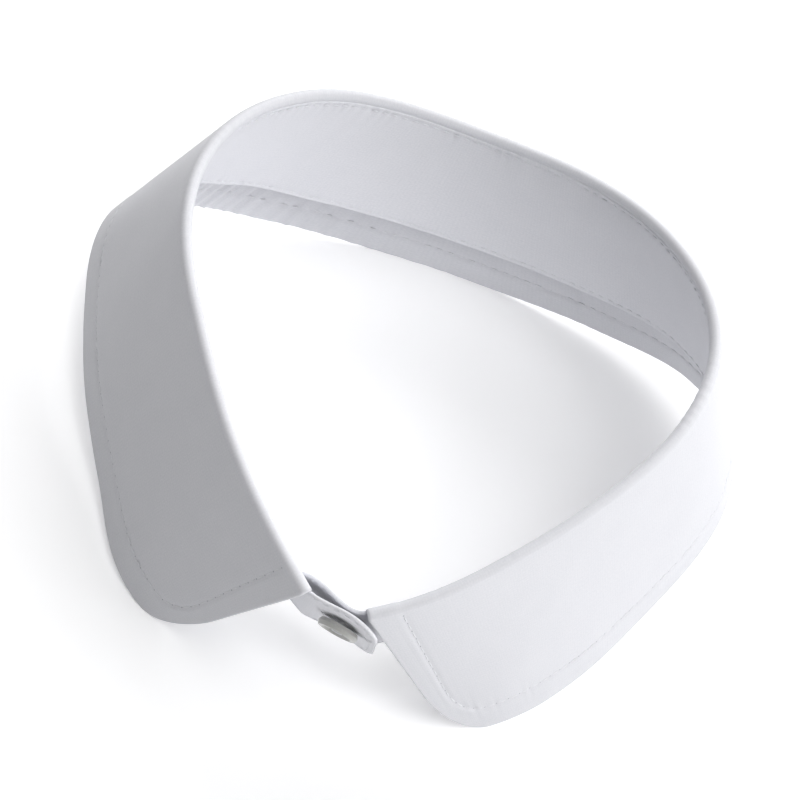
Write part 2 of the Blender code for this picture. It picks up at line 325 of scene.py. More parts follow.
# Poplin has about 40 threads to the centimetre. Drawn 0.62 mm apart, they are as coarse as they need to be to
# show as a faint grain. It is matte, with a slight sheen from loose fibres at a low angle.
THREAD_SPACING = 0.62 * MM
THREAD_DRIFT = 2.2
SLUB_ACROSS = 900
SLUB_ALONG = 70
FIBRE_SCALE = 2200.0
CLOUD_SCALE = 140.0
FIBRE_SHARE = 0.9
CLOUD_SHARE = 0.3
WEAVE_SHARE = 0.2
WEAVE_RELIEF = 0.03 * MM
CLOTH_FINISH = {"Roughness": 0.82, "Specular IOR Level": 0.3, "Sheen Weight": 0.12, "Sheen Roughness": 0.45}
THREADS = (
    ("X", (SLUB_ACROSS, SLUB_ALONG, 1)),
    ("Y", (SLUB_ALONG, SLUB_ACROSS, 1)),
)


def woven_poplin(name, thread_colour, groove_shade_and_grain_colour):
    """White mercerised cotton-blend poplin, plain woven, bleached and pressed."""
    material, tree, shader = new_material(name, CLOTH_FINISH)
    place = add_node(tree, "ShaderNodeUVMap", uv_map="pattern").outputs["UV"]
    parts = add_node(tree, "ShaderNodeSeparateXYZ", {0: place}).outputs
    humps = []
    turns = math.pi / THREAD_SPACING
    for axis, stretch in THREADS:
        drawn = add_node(tree, "ShaderNodeMapping", {"Vector": place, "Scale": stretch}).outputs[0]
        slub = add_node(tree, "ShaderNodeTexNoise", {"Vector": drawn, "Scale": 1.0, "Detail": 2.0}).outputs[0]
        angle = add_node(tree, "ShaderNodeMath", {0: parts[axis], 1: turns}, operation="MULTIPLY").outputs[0]
        drifting = {0: slub, 1: THREAD_DRIFT, 2: angle}
        drift = add_node(tree, "ShaderNodeMath", drifting, operation="MULTIPLY_ADD").outputs[0]
        wave = add_node(tree, "ShaderNodeMath", {0: drift}, operation="SINE").outputs[0]
        humps.append(add_node(tree, "ShaderNodeMath", {0: wave}, operation="ABSOLUTE").outputs[0])
    crossed = add_node(tree, "ShaderNodeMath", {0: humps[0], 1: humps[1]}, operation="MULTIPLY").outputs[0]
    weave = add_node(tree, "ShaderNodeMath", {0: crossed, 1: WEAVE_SHARE}, operation="MULTIPLY").outputs[0]
    fibrous = {"Vector": place, "Scale": FIBRE_SCALE, "Detail": 2.0}
    fibres = add_node(tree, "ShaderNodeTexNoise", fibrous).outputs[0]
    clouded = {"Vector": place, "Scale": CLOUD_SCALE, "Detail": 3.0}
    cloudy = add_node(tree, "ShaderNodeTexNoise", clouded).outputs[0]
    fuzzy = {0: fibres, 1: FIBRE_SHARE, 2: weave}
    fuzz = add_node(tree, "ShaderNodeMath", fuzzy, operation="MULTIPLY_ADD").outputs[0]
    grainy = {0: cloudy, 1: CLOUD_SHARE, 2: fuzz}
    grain = add_node(tree, "ShaderNodeMath", grainy, operation="MULTIPLY_ADD").outputs[0]
    # The colour is darker where the weave dips between the threads, which is painted shade in its grooves,
    # and darker at random with the fibre and cloud noise, which is the cloth's own uneven tone.
    shaded = {"Value": grain, "From Min": 0.35, "From Max": 1.05}
    shade = add_node(tree, "ShaderNodeMapRange", shaded).outputs[0]
    tint = add_node(tree, "ShaderNodeMix", data_type="RGBA")
    tint.inputs[6].default_value = colour(groove_shade_and_grain_colour)
    tint.inputs[7].default_value = colour(thread_colour)
    tree.links.new(shade, tint.inputs[0])
    tree.links.new(tint.outputs[2], shader.inputs["Base Color"])
    relief = {"Height": fuzz, "Distance": WEAVE_RELIEF, "Strength": 0.55}
    bump = add_node(tree, "ShaderNodeBump", relief)
    tree.links.new(bump.outputs[0], shader.inputs["Normal"])
    return material


# Stitch rows on the band: one just below the leaf's seam and one just above the lower edge, joined round both
# ends. Each stitch pulls the ply in, so the cloth puckers between the stitches.
BAND_STITCH_INSET = 1.2 * MM
BAND_STITCH_PITCH = 2.5 * MM
STITCH_GROOVE = 0.13 * MM
STITCH_GROOVE_HALF = 0.55 * MM
PUCKER_HEIGHT = 0.3 * MM
PUCKER_REACH = 1.7 * MM
PUCKER_DRIFT = 0.25
LOW_PUCKER_SHARE = 0.5
OUTER_PUCKER_SHARE = 0.3
QUIET_REACH = 12 * MM

BAND_CREASES = (
    (-150, 14, 80, 9, 3.0, 0.10),
    (-118, 20, 60, 12, 4.0, -0.14),
    (-92, 12, 95, 9, 3.5, 0.12),
    (-64, 18, 75, 10, 4.0, -0.12),
    (-30, 9, 100, 6, 2.0, -0.12),
    (-12, 22, 85, 9, 5.0, 0.10),
    (8, 8, 80, 6, 1.8, -0.14),
    (24, 17, 110, 10, 4.0, 0.12),
    (44, 9, 85, 7, 2.0, -0.15),
    (62, 20, 65, 10, 4.5, 0.10),
    (88, 13, 95, 9, 3.5, -0.12),
    (121, 18, 110, 11, 4.0, 0.12),
    (152, 13, 75, 8, 3.0, -0.10),
)


def stitch_groove(from_row):
    """How far a row of stitches pulls the ply in, at a distance from the row."""
    return STITCH_GROOVE * np.exp(-(from_row / STITCH_GROOVE_HALF) ** 2)


def puckers(along, from_row, pitch, seed):
    """Small uneven swellings of the cloth between the stitches of a row, fading away from it."""
    count = int(2 * (FOLD_HALF_LENGTH + BAND_END) / pitch) + 4
    random = np.random.default_rng(seed)
    strength = random.uniform(0, 1, count) ** 2
    drift = random.uniform(-PUCKER_DRIFT, PUCKER_DRIFT, count)
    step = along / pitch + count / 2
    uneven = np.interp(step, np.arange(count) + 0.5, strength)
    shifted = step + np.interp(step, np.arange(count), drift)
    return PUCKER_HEIGHT * uneven * np.cos(2 * np.pi * shifted) * np.exp(-from_row / PUCKER_REACH)


band_reach = FOLD_HALF_LENGTH + BAND_END
band_columns = spaced(-band_reach, band_reach, COLUMN_SPACING, EDGE_STEPS, EDGE_STEPS)
BAND_MIDDLE_ROWS = 16


def band_depths(along, width):
    """The depth of each row of the band at one place along it."""
    from_end = band_reach - abs(along)
    top = band_top(along) + corner_cut(from_end, BAND_END_TOP_RADIUS)
    bottom = width - corner_cut(from_end, BAND_END_LOW_RADIUS)
    low = top + EDGE_STEPS
    high = bottom - EDGE_STEPS[::-1]
    return np.concatenate([low, np.linspace(low[-1], high[0], BAND_MIDDLE_ROWS + 1)[1:-1], high])


band_sections = [Section(along) for along in band_columns]
band_depth = np.array([band_depths(section.along, section.band_width) for section in band_sections])
band_middle = np.array([
    [section.band_point(depth) for depth in depths] for section, depths in zip(band_sections, band_depth)
])
band_along = band_columns[:, None] * np.ones_like(band_depth)
band_widths = np.array([section.band_width for section in band_sections])[:, None]
band_from_end = band_reach - np.abs(band_along)
band_edge = np.minimum(
    corner_distance(band_from_end, band_depth - band_top(band_along), BAND_END_TOP_RADIUS),
    corner_distance(band_from_end, band_widths - band_depth, BAND_END_LOW_RADIUS),
)
band_facing = faced(band_middle)
band_wall = cloth_wall(band_edge)
band_inside = np.clip(band_edge / CLOTH_HALF, 0, 1)
band_quiet = np.clip((FOLD_HALF_LENGTH - np.abs(band_along)) / QUIET_REACH, 0, 1)
band_lift = hand_creases(BAND_CREASES, band_along, band_depth) * band_quiet * band_inside
band_groove = stitch_groove(band_edge - BAND_STITCH_INSET)
from_top_row = np.abs(band_depth - SEAM_DEPTH - BAND_STITCH_INSET)
from_low_row = np.abs(band_widths - band_depth - BAND_STITCH_INSET)
band_top_pucker = puckers(band_along, from_top_row, BAND_STITCH_PITCH, seed=3)
band_low_pucker = puckers(band_along, from_low_row, BAND_STITCH_PITCH, seed=4)
band_pucker = (band_top_pucker + LOW_PUCKER_SHARE * band_low_pucker) * band_quiet * band_inside
band_centre = band_middle + band_facing * band_lift[..., None]
band_swell = band_wall - band_groove * band_inside
band_plies = (
    band_centre + band_facing * (band_swell + OUTER_PUCKER_SHARE * band_pucker)[..., None],
    band_centre - band_facing * (band_swell + band_pucker)[..., None],
)
band_pattern = np.stack([band_along, -band_depth], axis=2)
band = sewn_cloth("neck_band", band_plies, band_pattern)
# Painted light: the band's copy of the one poplin has lighter colours than the leaf's (#E8E8EC and #DDDEE3
# against #E1E1E5 and #D6D7DC), to stand in for more light on the band.
band.data.materials.append(woven_poplin("band_poplin_painted_lighter", "#E8E8EC", "#DDDEE3"))
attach(band, "root")
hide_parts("band")

# Leaf
# The turned-down part: an upper and an under ply of the same poplin with interlining, sewn round, turned,
# pressed over the top of the band and topstitched. Its seam allowances thicken the rim outside the stitches.
LEAF_WIDTH_BACK = 45 * MM
LEAF_WIDTH_SIDE = 47 * MM
LEAF_WIDTH_FRONT = 42.5 * MM
POINT_RADIUS = 15 * MM
FRONT_SLANT = 6 * MM
FRONT_SLANT_REACH = 30 * MM
LEAF_TUCK = 1.2 * MM
SEAM_PRESSED_HALF = 0.25 * MM
SEAM_PRESSED_REACH = SEAM_DEPTH - 0.1 * MM
LEAF_STITCH_INSET = 6.8 * MM
LEAF_STITCH_PITCH = 2.8 * MM
RIM_SWELL = 0.12 * MM
RIM_FADE = 2.0 * MM
UNDER_GROOVE_SHARE = 0.4
ROLL_GATHER_SHARE = 0.35
LEAF_PUCKER_SHARE = 0.45
CREASE_FADE = 8 * MM
LEAF_SEAM_ROWS = 10
LEAF_ROLL_ROWS = 12
LEAF_MIDDLE_ROWS = 22
LEAF_EDGE_STEPS = np.array([
    0, 0.06, 0.15, 0.3, 0.5, 0.8, 1.2, 1.8, 2.5, 3.3, 4.2, 5.1, 5.8, 6.2, 6.5, 6.8, 7.1, 7.5, 8.0, 9.0,
]) * MM

LEAF_CREASES = (
    (-168, 22, 70, 16, 7, -0.25),
    (-140, 30, 20, 18, 8, 0.30),
    (-112, 16, 95, 14, 7, -0.25),
    (-80, 28, 80, 15, 8, 0.25),
    (-52, 20, 100, 14, 6, -0.25),
    (-20, 30, 85, 13, 7, 0.25),
    (14, 24, 95, 14, 7, -0.22),
    (48, 30, 75, 14, 7, 0.25),
    (82, 18, 100, 14, 8, -0.25),
    (108, 30, 70, 14, 6, 0.25),
    (132, 22, 110, 16, 7, -0.28),
    (158, 28, 25, 14, 8, 0.25),
)

# Narrow ripples in the under ply above the hem, where the stitches gathered it: a stretch in each row.
RIPPLE_COLUMNS = ("from_mm", "to_mm", "pitch_mm", "height_mm")
RIPPLES = (
    (-170, -120, 2.7, 0.05),
    (-66, 4, 2.6, 0.42),
    (6, 32, 2.8, 0.12),
    (44, 80, 2.5, 0.10),
    (118, 165, 2.7, 0.05),
)
RIPPLE_REACH = 24 * MM
RIPPLE_DRIFT = 0.22
RIPPLE_ENDS = 6
RIPPLE_SEED = 20


def leaf_fall_of(section):
    """The way that the leaf falls at a section, its lean there, its full width and its front edge's slant."""
    along = section.along
    lean = math.radians(section_value("leaf_lean_deg", along))
    fall = section.falling(lean) + section_value("leaf_skew", along) * section.forward
    reach = section.reach
    width = (
        LEAF_WIDTH_BACK * (1 - reach) * (1 - 2 * reach)
        + LEAF_WIDTH_SIDE * 4 * reach * (1 - reach)
        + LEAF_WIDTH_FRONT * reach * (2 * reach - 1)
    )
    fade = max(1 - (FOLD_HALF_LENGTH - abs(along)) / FRONT_SLANT_REACH, 0) ** 2
    slant = math.copysign(FRONT_SLANT * min(fade, 1), -along)
    return lean, fall, width, slant


def leaf_column(along):
    """The leaf at one place, from its end under the band, over the roll, to the hem: points and depths."""
    section = Section(along)
    lean, fall, width, slant = leaf_fall_of(section)
    hem = width - corner_cut(FOLD_HALF_LENGTH - abs(along), POINT_RADIUS)
    points = []
    depths = []
    for depth in np.linspace(SEAM_DEPTH + LEAF_TUCK, 0, LEAF_SEAM_ROWS + 1)[:-1]:
        points.append(section.band_point(depth))
        depths.append(-depth - math.pi * ROLL_RADIUS)
    for turn in np.linspace(1, 0, LEAF_ROLL_ROWS + 1)[:-1]:
        facing = section.facing(lean + turn * (math.pi + section.band_lean - lean))
        points.append(section.centre + facing * ROLL_RADIUS)
        depths.append(-turn * math.pi * ROLL_RADIUS)
    near = hem - LEAF_EDGE_STEPS[::-1]
    for depth in np.concatenate([np.linspace(0, near[0], LEAF_MIDDLE_ROWS + 1)[:-1], near]):
        share = depth / width
        outset = section.facing(lean) * ROLL_RADIUS * (1 - share)
        points.append(section.centre + fall * depth + outset + section.forward * slant * share)
        depths.append(depth)
    return points, depths, width


leaf_columns = spaced(-FOLD_HALF_LENGTH, FOLD_HALF_LENGTH, COLUMN_SPACING, EDGE_STEPS, EDGE_STEPS)
leaf_parts = [leaf_column(along) for along in leaf_columns]
leaf_middle = np.array([points for points, depths, width in leaf_parts])
leaf_depth = np.array([depths for points, depths, width in leaf_parts])
leaf_widths = np.array([width for points, depths, width in leaf_parts])[:, None]
leaf_along = leaf_columns[:, None] * np.ones_like(leaf_depth)
leaf_from_end = FOLD_HALF_LENGTH - np.abs(leaf_along)
leaf_edge = corner_distance(leaf_from_end, leaf_widths - leaf_depth, POINT_RADIUS)
leaf_tucked = leaf_depth + math.pi * ROLL_RADIUS + SEAM_DEPTH + LEAF_TUCK
leaf_facing = faced(leaf_middle)
leaf_leg = SEAM_DEPTH + LEAF_TUCK - leaf_tucked
leaf_pressed = np.interp(leaf_leg, [0, SEAM_PRESSED_REACH], [CLOTH_HALF, SEAM_PRESSED_HALF])
leaf_wall = np.minimum(cloth_wall(np.minimum(leaf_edge, leaf_tucked)), leaf_pressed)
leaf_inside = np.clip(leaf_edge / CLOTH_HALF, 0, 1)
leaf_below = np.clip(leaf_depth / CREASE_FADE, 0, 1)
leaf_lift = hand_creases(LEAF_CREASES, leaf_along, leaf_depth) * leaf_below
leaf_groove = stitch_groove(leaf_edge - LEAF_STITCH_INSET) * np.clip(leaf_depth / MM, 0, 1)
leaf_rim = RIM_SWELL * np.clip((LEAF_STITCH_INSET - leaf_edge) / MM, 0, 1) * leaf_inside
leaf_rim = leaf_rim * np.clip(leaf_tucked / RIM_FADE, 0, 1)
leaf_pucker = puckers(leaf_along, np.abs(leaf_edge - LEAF_STITCH_INSET), LEAF_STITCH_PITCH, seed=7)
leaf_pucker = LEAF_PUCKER_SHARE * leaf_pucker * leaf_below * leaf_inside


def under_ripples(along, from_hem):
    """The ripples in the under ply above the hem."""
    height = np.zeros_like(along)
    for row, ripple in enumerate(RIPPLES):
        at = dict(zip(RIPPLE_COLUMNS, ripple))
        place = (along / MM - at["from_mm"]) / (at["to_mm"] - at["from_mm"])
        fade = np.clip(np.minimum(place, 1 - place) * RIPPLE_ENDS, 0, 1)
        count = int((at["to_mm"] - at["from_mm"]) / at["pitch_mm"]) + 2
        random = np.random.default_rng(RIPPLE_SEED + row)
        strength = random.uniform(0.25, 1.0, count)
        drift = random.uniform(-RIPPLE_DRIFT, RIPPLE_DRIFT, count)
        step = np.clip(place * (count - 1), 0, count - 1)
        uneven = np.interp(step, np.arange(count), strength)
        shifted = step + np.interp(step, np.arange(count), drift)
        height += at["height_mm"] * MM * fade * uneven * np.cos(2 * np.pi * shifted)
    return height * np.exp(-(from_hem / RIPPLE_REACH) ** 2)


leaf_quiet = np.clip(leaf_from_end / QUIET_REACH, 0, 1)
roll_middle = math.pi * ROLL_RADIUS / 2
leaf_gather = puckers(leaf_along, np.abs(leaf_depth + roll_middle), BAND_STITCH_PITCH, seed=3)
leaf_gather = ROLL_GATHER_SHARE * leaf_gather * leaf_quiet * (leaf_depth > -2 * roll_middle)
leaf_ripple = under_ripples(leaf_along, leaf_widths - leaf_depth) * leaf_below * leaf_inside
leaf_centre = leaf_middle + leaf_facing * leaf_lift[..., None]
leaf_upper = leaf_wall + (leaf_rim - leaf_groove + leaf_gather) * leaf_inside + leaf_pucker
leaf_under = leaf_wall + (leaf_rim - UNDER_GROOVE_SHARE * leaf_groove) * leaf_inside
leaf_under = leaf_under + UNDER_GROOVE_SHARE * leaf_pucker + leaf_ripple
leaf_plies = [
    leaf_centre + leaf_facing * leaf_upper[..., None],
    leaf_centre - leaf_facing * leaf_under[..., None],
]
for ply in leaf_plies:
    ply[..., 2] = np.maximum(ply[..., 2], 0)
leaf_pattern = np.stack([leaf_along, -leaf_depth], axis=2)
leaf = sewn_cloth("collar_leaf", leaf_plies, leaf_pattern)
leaf.data.materials.append(woven_poplin("leaf_poplin", "#E1E1E5", "#D6D7DC"))
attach(leaf, "root")
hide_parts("leaf")

# Stitching
# White polyester thread, lockstitched, so each row shows on both plies. A stitch is a short spindle sunk in
# the cloth between two needle holes. The holes are painted shade: small flat dark discs that lie just proud
# of the cloth.
THREAD_HALF = 0.15 * MM
THREAD_PROUD = 0.1
HOLE_SHADE_HALF = 0.2 * MM
HOLE_SHADE_PROUD = 0.015 * MM
LEAF_HOLE_SHADE_SIZE = 0.9
LEAF_ROW_START = 0.8 * MM
CORNER_STEPS = 40
ROW_STEP = 0.2 * MM
LEAF_STITCH_COVER = 0.6
BAND_STITCH_COVER = 0.56


def on_ply(points, column, row):
    """A point between the points of a ply's grid."""
    i = min(int(column), len(points) - 2)
    j = min(int(row), len(points[0]) - 2)
    u = column - i
    v = row - j
    near = points[i, j] * (1 - v) + points[i, j + 1] * v
    far = points[i + 1, j] * (1 - v) + points[i + 1, j + 1] * v
    return near * (1 - u) + far * u


def corner_path(radius, inset):
    """Places on a row that runs at an inset round a corner: distances from the end and from the side."""
    places = []
    for angle in np.linspace(0, math.pi / 2, CORNER_STEPS):
        reach = (radius - inset) * math.cos(angle)
        rise = (radius - inset) * math.sin(angle)
        places.append((radius - reach, radius - rise))
    return places


def one_mesh(name, shape, material_index=0):
    """A small mesh that is repeated many times."""
    for face in shape.faces:
        face.material_index = material_index
    mesh = bpy.data.meshes.new(name)
    shape.to_mesh(mesh)
    shape.free()
    return mesh


stitch_shape = bmesh.new()
bmesh.ops.create_uvsphere(stitch_shape, u_segments=6, v_segments=6, radius=1)
one_stitch = one_mesh("one_stitch", stitch_shape)
# A needle hole is drawn as a flat eight-sided dark disc of painted shade, not as a hole in the cloth.
hole_shade_shape = bmesh.new()
bmesh.ops.create_circle(hole_shade_shape, cap_ends=True, segments=8, radius=HOLE_SHADE_HALF)
one_hole_shade = one_mesh("one_hole_shade", hole_shade_shape, 1)


def add_copy(shape, mesh, place):
    """Add a copy of a small mesh at its place."""
    copy = mesh.copy()
    copy.transform(place)
    shape.from_mesh(copy)
    bpy.data.meshes.remove(copy)


def add_stitch(shape, start, end, way, half, cover):
    """One stitch between two points, standing a little proud of the cloth."""
    turned = (end - start).to_track_quat("Z", "Y").to_matrix().to_4x4()
    size = Matrix.Diagonal((half, half, (end - start).length / 2 * cover, 1))
    place = Matrix.Translation((start + end) / 2 + way * half * THREAD_PROUD)
    add_copy(shape, one_stitch, place @ turned @ size)


def sewn_row(shape, ply, facing, columns, depths, path, pitch, side, first, cover, hole_shade_size):
    """Stitches along a path of places and depths on one ply, and their needle holes as small discs of painted
    shade.
    """
    cells = []
    for along, depth in path:
        column = float(np.interp(along, columns, np.arange(len(columns))))
        nearest = depths[min(round(column), len(columns) - 1)]
        row = float(np.interp(depth, nearest[first:], np.arange(first, len(nearest))))
        cells.append((column, row))
    line = np.array([on_ply(ply, column, row) for column, row in cells])
    walked = np.concatenate([[0], np.cumsum(np.linalg.norm(np.diff(line, axis=0), axis=1))])
    count = int(walked[-1] / pitch)
    stops = np.linspace(0, walked[-1], count + 1)
    places = np.stack([np.interp(stops, walked, np.array(cells)[:, axis]) for axis in (0, 1)], axis=1)
    holes = [Vector(on_ply(ply, column, row)) for column, row in places]
    ways = [Vector(on_ply(facing, column, row)) * side for column, row in places]
    for start, end, way in zip(holes, holes[1:], ways):
        add_stitch(shape, start, end, way, THREAD_HALF, cover)
    if not hole_shade_size:
        return
    # Each needle hole gets a dark disc of painted shade, just proud of the ply.
    for hole, way in zip(holes, ways):
        turned = way.to_track_quat("Z", "Y").to_matrix().to_4x4()
        size = Matrix.Scale(hole_shade_size, 4)
        add_copy(shape, one_hole_shade, Matrix.Translation(hole + way * HOLE_SHADE_PROUD) @ turned @ size)


def polyester_thread():
    """White spun polyester sewing thread, a little glossier than the cloth."""
    material, tree, shader = new_material("polyester_thread", {"Roughness": 0.5, "Sheen Weight": 0.1})
    place = add_node(tree, "ShaderNodeTexCoord").outputs["Object"]
    fibrous = {"Vector": place, "Scale": 3000.0, "Detail": 2.0}
    fibres = add_node(tree, "ShaderNodeTexNoise", fibrous).outputs[0]
    tint = add_node(tree, "ShaderNodeMix", {0: fibres}, data_type="RGBA")
    tint.inputs[6].default_value = colour("#DCDDE1")
    tint.inputs[7].default_value = colour("#E9EAEE")
    tree.links.new(tint.outputs[2], shader.inputs["Base Color"])
    bump = add_node(tree, "ShaderNodeBump", {"Height": fibres, "Distance": 0.03 * MM, "Strength": 0.5})
    tree.links.new(bump.outputs[0], shader.inputs["Normal"])
    return material


def painted_hole_shade():
    """Painted shade for the inside of a needle hole in white cloth, laid on a flat dark disc."""
    material, tree, shader = new_material("needle_hole_shade", {"Roughness": 1.0, "Specular IOR Level": 0.0})
    place = add_node(tree, "ShaderNodeTexCoord").outputs["Object"]
    uneven = add_node(tree, "ShaderNodeTexNoise", {"Vector": place, "Scale": 400.0}).outputs[0]
    tint = add_node(tree, "ShaderNodeMix", {0: uneven}, data_type="RGBA")
    tint.inputs[6].default_value = colour("#A4A6AC")
    tint.inputs[7].default_value = colour("#C0C2C8")
    tree.links.new(tint.outputs[2], shader.inputs["Base Color"])
    return material


thread_material = polyester_thread()
hole_shade_material = painted_hole_shade()

# The leaf's row starts at the fold on one front edge and runs round both points to the other.
front_start = FOLD_HALF_LENGTH - LEAF_STITCH_INSET
leaf_row = []
for depth in np.arange(LEAF_ROW_START, LEAF_WIDTH_FRONT - POINT_RADIUS, ROW_STEP):
    leaf_row.append((-front_start, depth))
corner = corner_path(POINT_RADIUS, LEAF_STITCH_INSET)
for from_end, from_hem in corner:
    along = from_end - FOLD_HALF_LENGTH
    leaf_row.append((along, leaf_fall_of(Section(along))[2] - from_hem))
for along in np.arange(POINT_RADIUS - FOLD_HALF_LENGTH, 0, ROW_STEP):
    leaf_row.append((along, leaf_fall_of(Section(along))[2] - LEAF_STITCH_INSET))
leaf_row = leaf_row + [(-along, depth) for along, depth in leaf_row[::-1]]
leaf_stitches = bmesh.new()
fall_start = LEAF_SEAM_ROWS + LEAF_ROLL_ROWS
for ply, side, hole_shade_size in zip(leaf_plies, (1, -1), (LEAF_HOLE_SHADE_SIZE, 0)):
    sewn_row(
        leaf_stitches, ply, leaf_facing, leaf_columns, leaf_depth, leaf_row,
        LEAF_STITCH_PITCH, side, fall_start, LEAF_STITCH_COVER, hole_shade_size)
leaf_stitching = finished("leaf_stitching", leaf_stitches)
leaf_stitching.data.materials.append(thread_material)
leaf_stitching.data.materials.append(hole_shade_material)
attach(leaf_stitching, "root")

# The band's row runs all the way round it: below the seam, round the outer end, above the lower edge and
# round the inner end.
quarter = []
for along in np.arange(0, band_reach - BAND_END_TOP_RADIUS, ROW_STEP):
    quarter.append((along, float(band_top(along)) + BAND_STITCH_INSET))
for from_end, from_side in corner_path(BAND_END_TOP_RADIUS, BAND_STITCH_INSET)[::-1]:
    quarter.append((band_reach - from_end, SEAM_DEPTH + BAND_END_DROP + from_side))
for from_end, from_side in corner_path(BAND_END_LOW_RADIUS, BAND_STITCH_INSET):
    along = band_reach - from_end
    quarter.append((along, BAND_WIDTH_FRONT - from_side))
for along in np.arange(band_reach - BAND_END_LOW_RADIUS, 0, -ROW_STEP):
    quarter.append((along, Section(along).band_width - BAND_STITCH_INSET))
band_stitches = bmesh.new()
for half in (-1, 1):
    band_row = [(half * along, depth) for along, depth in quarter]
    for ply, side in zip(band_plies, (1, -1)):
        sewn_row(
            band_stitches, ply, band_facing, band_columns, band_depth, band_row,
            BAND_STITCH_PITCH, side, 0, BAND_STITCH_COVER, 0)
band_stitching = finished("band_stitching", band_stitches)
band_stitching.data.materials.append(thread_material)
band_stitching.data.materials.append(hole_shade_material)
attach(band_stitching, "root")

# Buttonhole
# Cut along the outer end, level with the button, and worked with close stitches of the same thread: a row on
# each side of the slit and a short bar across each end. The slit itself is not cut: its dark gap is painted
# shade, a row of small dark discs along its middle.
BUTTONHOLE_PAST_LEAF = 10.6 * MM
BUTTONHOLE_DEPTH = 13 * MM
BUTTONHOLE_HALF_LENGTH = 5.4 * MM
BUTTONHOLE_SLIT_HALF = 0.15 * MM
BUTTONHOLE_HALF_WIDTH = 1.1 * MM
BUTTONHOLE_BAR = 0.9 * MM
BUTTONHOLE_PITCH = 0.3 * MM


def on_outer_end(past_leaf, depth, ply):
    """A point on a ply of the band's outer end, and the way that it faces."""
    column = float(np.interp(-FOLD_HALF_LENGTH - past_leaf, band_columns, np.arange(len(band_columns))))
    depths = band_depth[round(column)]
    row = float(np.interp(depth, depths, np.arange(len(depths))))
    outwards = Vector(on_ply(band_facing, column, row))
    return Vector(on_ply(band_plies[ply], column, row)), -outwards if ply else outwards


worked = bmesh.new()
for ply in (0, 1):
    for reach in np.arange(-BUTTONHOLE_HALF_LENGTH, BUTTONHOLE_HALF_LENGTH, BUTTONHOLE_PITCH):
        past_leaf = BUTTONHOLE_PAST_LEAF + reach
        in_bar = BUTTONHOLE_HALF_LENGTH - abs(reach) < BUTTONHOLE_BAR
        gap = 0 if in_bar else BUTTONHOLE_SLIT_HALF
        for side in (-1, 1):
            near, way = on_outer_end(past_leaf, BUTTONHOLE_DEPTH + side * gap, ply)
            far, way = on_outer_end(past_leaf, BUTTONHOLE_DEPTH + side * BUTTONHOLE_HALF_WIDTH, ply)
            add_stitch(worked, near, far, way, THREAD_HALF, 1.0)
        if not in_bar:
            # Painted shade for the slit: a small dark disc at its middle between the stitches.
            middle, way = on_outer_end(past_leaf, BUTTONHOLE_DEPTH, ply)
            turned = way.to_track_quat("Z", "Y").to_matrix().to_4x4()
            add_copy(worked, one_hole_shade, Matrix.Translation(middle + way * HOLE_SHADE_PROUD) @ turned)
buttonhole = finished("buttonhole", worked)
buttonhole.data.materials.append(thread_material)
buttonhole.data.materials.append(hole_shade_material)
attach(buttonhole, "root")

# Button
# A small four-hole shirt button, moulded of pearly polyester. It is sewn to the band's inner end and passed
# through the buttonhole in the outer one.
BUTTON_PAST_LEAF = 9.4 * MM
BUTTON_DEPTH = 13 * MM
BUTTON_OUT = 2.1 * MM
BUTTON_HOLE_PITCH = 2.3 * MM
BUTTON_DISH_HEIGHT = 0.4 * MM
BUTTON_HALF_THICKNESS = 0.8 * MM
SHANK_HALF = 0.7 * MM


def pearl_polyester():
    """Pearlescent polyester resin, tumbled to a gloss, with cloudy bands of pearl pigment."""
    values = {"Roughness": 0.35, "Coat Weight": 0.25, "Coat Roughness": 0.2}
    material, tree, shader = new_material("pearl_polyester", values)
    place = add_node(tree, "ShaderNodeTexCoord").outputs["Object"]
    clouds = {"Vector": place, "Scale": 120.0, "Detail": 2.0, "Distortion": 0.6}
    cloudy = add_node(tree, "ShaderNodeTexNoise", clouds).outputs[0]
    bands = {"Value": cloudy, "From Min": 0.35, "From Max": 0.65}
    banded = add_node(tree, "ShaderNodeMapRange", bands).outputs[0]
    tint = add_node(tree, "ShaderNodeMix", {0: banded}, data_type="RGBA")
    tint.inputs[6].default_value = colour("#B4B4B1")
    tint.inputs[7].default_value = colour("#C4C4C0")
    tree.links.new(tint.outputs[2], shader.inputs["Base Color"])
    return material


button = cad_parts["button"]
button_material = pearl_polyester()
for slot in button.material_slots:
    slot.material = button_material

# Its thread crosses between each pair of holes and is wound into a short shank that stands in the buttonhole.
button_section = Section(-FOLD_HALF_LENGTH - BUTTON_PAST_LEAF)
button_facing = button_section.band_facing
button_turn = button_facing.to_track_quat("Z", "Y").to_matrix()
button_middle = button_section.band_point(BUTTON_DEPTH) + button_facing * BUTTON_OUT
thread_shape = bmesh.new()
for side in (-1, 1):
    for beside in (-THREAD_HALF, THREAD_HALF):
        across = side * BUTTON_HOLE_PITCH / 2 + beside
        start = button_turn @ Vector((-BUTTON_HOLE_PITCH / 2, across, BUTTON_DISH_HEIGHT))
        end = button_turn @ Vector((BUTTON_HOLE_PITCH / 2, across, BUTTON_DISH_HEIGHT))
        add_stitch(thread_shape, button_middle + start, button_middle + end, button_facing, THREAD_HALF, 1.1)
shank_top = button_middle - button_facing * BUTTON_HALF_THICKNESS
shank_foot = button_middle - button_facing * BUTTON_OUT
add_stitch(thread_shape, shank_top, shank_foot, Vector((0, 0, 0)), SHANK_HALF, 1.2)
button_thread = finished("button_thread", thread_shape)
button_thread.data.materials.append(thread_material)
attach(button_thread, "root")

